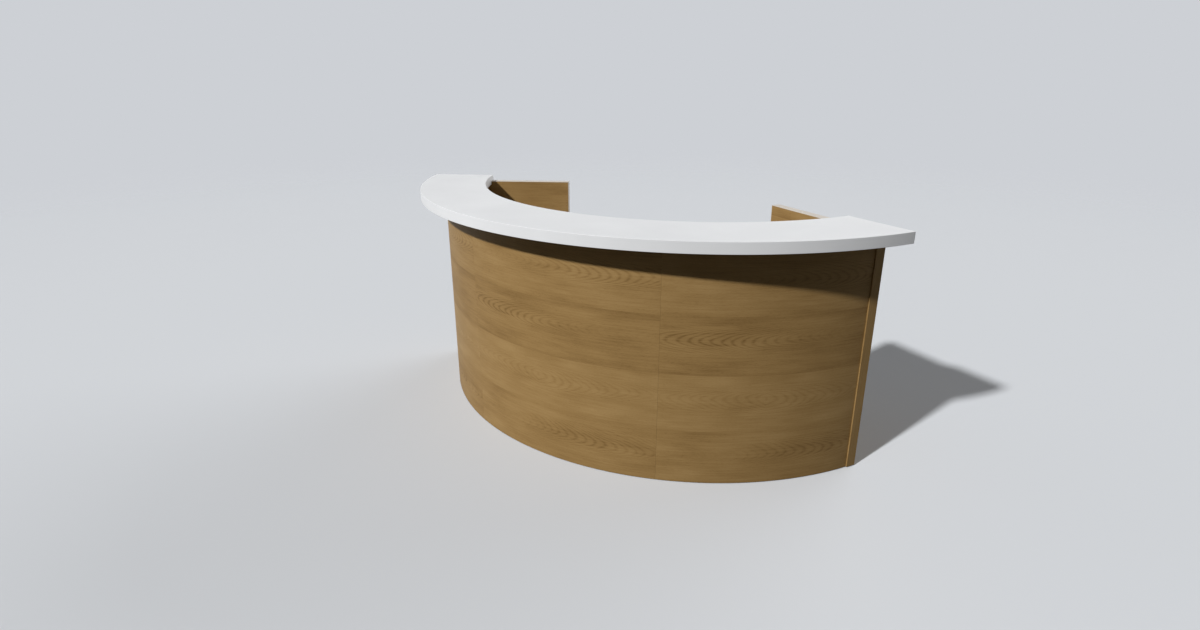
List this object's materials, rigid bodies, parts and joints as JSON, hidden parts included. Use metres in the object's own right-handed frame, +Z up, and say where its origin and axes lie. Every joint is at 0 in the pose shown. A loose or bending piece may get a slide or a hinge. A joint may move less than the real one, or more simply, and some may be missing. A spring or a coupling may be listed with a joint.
{
  "type": "reception desk",
  "caption": "Curved reception desk with a wood-grain front, deep end panels, a raised white counter and a lower work surface behind it, on levelling feet.",
  "frame": {"origin": "on the floor, under the middle of the desk's box", "axes": "+X along the desk to a visitor's right, +Y from the visitor's side to the staff side, +Z up"},
  "size_m": [2.7602, 1.232, 1.15],
  "materials": {
    "oak_laminate": "satin oak-grain laminate with the grain running level",
    "white_laminate": "white laminate with a fine satin texture",
    "pale_edging": "pale cream edging tape, satin",
    "plywood": "bare birch plywood, sanded",
    "zinc_steel": "folded steel, zinc plated",
    "grey_plastic": "moulded grey plastic, fine texture",
    "black_plastic": "moulded black plastic, matt"
  },
  "bodies": {
    "root": {"front_panel_left": "oak_laminate", "front_panel_middle": "oak_laminate", "front_panel_right": "oak_laminate", "end_panel_left": "oak_laminate", "end_panel_right": "oak_laminate", "centre_support": "oak_laminate", "counter_top": "white_laminate", "counter_front_lipping": "white_laminate", "counter_rear_lipping": "white_laminate", "work_surface_left": "white_laminate", "work_surface_right": "white_laminate", "end_panel_left_top_edging": "pale_edging", "end_panel_left_rear_edging": "pale_edging", "end_panel_right_top_edging": "pale_edging", "end_panel_right_rear_edging": "pale_edging", "joint_plate_left_lower": "plywood", "joint_plate_left_upper": "plywood", "joint_plate_right_lower": "plywood", "joint_plate_right_upper": "plywood", "counter_bracket_1": "zinc_steel", "counter_bracket_2": "zinc_steel", "counter_bracket_3": "zinc_steel", "counter_bracket_4": "zinc_steel", "work_bracket_1": "zinc_steel", "work_bracket_2": "zinc_steel", "work_bracket_3": "zinc_steel", "work_bracket_4": "zinc_steel", "end_cleat_left": "zinc_steel", "end_cleat_right": "zinc_steel", "corner_angle_left": "zinc_steel", "corner_angle_right": "zinc_steel", "support_angle": "zinc_steel", "foot_bracket_1": "zinc_steel", "foot_bracket_2": "zinc_steel", "foot_bracket_3": "zinc_steel", "foot_bracket_4": "zinc_steel", "foot_bracket_5": "zinc_steel", "foot_bracket_6": "zinc_steel", "foot_bracket_7": "zinc_steel", "foot_bracket_8": "zinc_steel", "grommet_ring_left": "grey_plastic", "grommet_ring_right": "grey_plastic"},
    "pad_1": {"foot_pad_1": "black_plastic"},
    "stem_1": {"foot_stem_1": "zinc_steel"},
    "pad_2": {"foot_pad_2": "black_plastic"},
    "stem_2": {"foot_stem_2": "zinc_steel"},
    "pad_3": {"foot_pad_3": "black_plastic"},
    "stem_3": {"foot_stem_3": "zinc_steel"},
    "pad_4": {"foot_pad_4": "black_plastic"},
    "stem_4": {"foot_stem_4": "zinc_steel"},
    "pad_5": {"foot_pad_5": "black_plastic"},
    "stem_5": {"foot_stem_5": "zinc_steel"},
    "pad_6": {"foot_pad_6": "black_plastic"},
    "stem_6": {"foot_stem_6": "zinc_steel"},
    "pad_7": {"foot_pad_7": "black_plastic"},
    "stem_7": {"foot_stem_7": "zinc_steel"},
    "pad_8": {"foot_pad_8": "black_plastic"},
    "stem_8": {"foot_stem_8": "zinc_steel"},
    "cap_left": {"grommet_cap_left": "grey_plastic"},
    "cap_right": {"grommet_cap_right": "grey_plastic"}
  },
  "joints": [
    {"name": "foot_1_height", "type": "slide", "parent": "root", "child": "pad_1", "axis": [0, 0, 1], "range_m": [-0.02, 0]},
    {"name": "foot_1_screw", "type": "hinge", "parent": "pad_1", "child": "stem_1", "pos_m": [-0.71121, 0.50082, 0], "axis": [0, 0, 1], "range_deg": [-4801, 1]},
    {"name": "foot_2_height", "type": "slide", "parent": "root", "child": "pad_2", "axis": [0, 0, 1], "range_m": [-0.02, 0]},
    {"name": "foot_2_screw", "type": "hinge", "parent": "pad_2", "child": "stem_2", "pos_m": [-1.1126, 0.26908, 0], "axis": [0, 0, 1], "range_deg": [-4801, 1]},
    {"name": "foot_3_height", "type": "slide", "parent": "root", "child": "pad_3", "axis": [0, 0, 1], "range_m": [-0.02, 0]},
    {"name": "foot_3_screw", "type": "hinge", "parent": "pad_3", "child": "stem_3", "pos_m": [-0.68658, -0.24623, 0], "axis": [0, 0, 1], "range_deg": [-4801, 1]},
    {"name": "foot_4_height", "type": "slide", "parent": "root", "child": "pad_4", "axis": [0, 0, 1], "range_m": [-0.02, 0]},
    {"name": "foot_4_screw", "type": "hinge", "parent": "pad_4", "child": "stem_4", "pos_m": [0.0398, 0.00297, 0], "axis": [0, 0, 1], "range_deg": [-4801, 1]},
    {"name": "foot_5_height", "type": "slide", "parent": "root", "child": "pad_5", "axis": [0, 0, 1], "range_m": [-0.02, 0]},
    {"name": "foot_5_screw", "type": "hinge", "parent": "pad_5", "child": "stem_5", "pos_m": [0.0398, -0.35752, 0], "axis": [0, 0, 1], "range_deg": [-4801, 1]},
    {"name": "foot_6_height", "type": "slide", "parent": "root", "child": "pad_6", "axis": [0, 0, 1], "range_m": [-0.02, 0]},
    {"name": "foot_6_screw", "type": "hinge", "parent": "pad_6", "child": "stem_6", "pos_m": [0.68658, -0.24623, 0], "axis": [0, 0, 1], "range_deg": [-4801, 1]},
    {"name": "foot_7_height", "type": "slide", "parent": "root", "child": "pad_7", "axis": [0, 0, 1], "range_m": [-0.02, 0]},
    {"name": "foot_7_screw", "type": "hinge", "parent": "pad_7", "child": "stem_7", "pos_m": [1.1126, 0.26908, 0], "axis": [0, 0, 1], "range_deg": [-4801, 1]},
    {"name": "foot_8_height", "type": "slide", "parent": "root", "child": "pad_8", "axis": [0, 0, 1], "range_m": [-0.02, 0]},
    {"name": "foot_8_screw", "type": "hinge", "parent": "pad_8", "child": "stem_8", "pos_m": [0.71121, 0.50082, 0], "axis": [0, 0, 1], "range_deg": [-4801, 1]},
    {"name": "grommet_left_turn", "type": "hinge", "parent": "root", "child": "cap_left", "pos_m": [-0.6545, -0.19066, 0.74], "axis": [0, 0, 1], "continuous": true},
    {"name": "grommet_right_turn", "type": "hinge", "parent": "root", "child": "cap_right", "pos_m": [0.6545, -0.19066, 0.74], "axis": [0, 0, 1], "continuous": true}
  ],
  "couplings": [
    {"joint": "foot_1_screw", "follows": "foot_1_height", "rad_per_m": 4188.8},
    {"joint": "foot_2_screw", "follows": "foot_2_height", "rad_per_m": 4188.8},
    {"joint": "foot_3_screw", "follows": "foot_3_height", "rad_per_m": 4188.8},
    {"joint": "foot_4_screw", "follows": "foot_4_height", "rad_per_m": 4188.8},
    {"joint": "foot_5_screw", "follows": "foot_5_height", "rad_per_m": 4188.8},
    {"joint": "foot_6_screw", "follows": "foot_6_height", "rad_per_m": 4188.8},
    {"joint": "foot_7_screw", "follows": "foot_7_height", "rad_per_m": 4188.8},
    {"joint": "foot_8_screw", "follows": "foot_8_height", "rad_per_m": 4188.8}
  ]
}
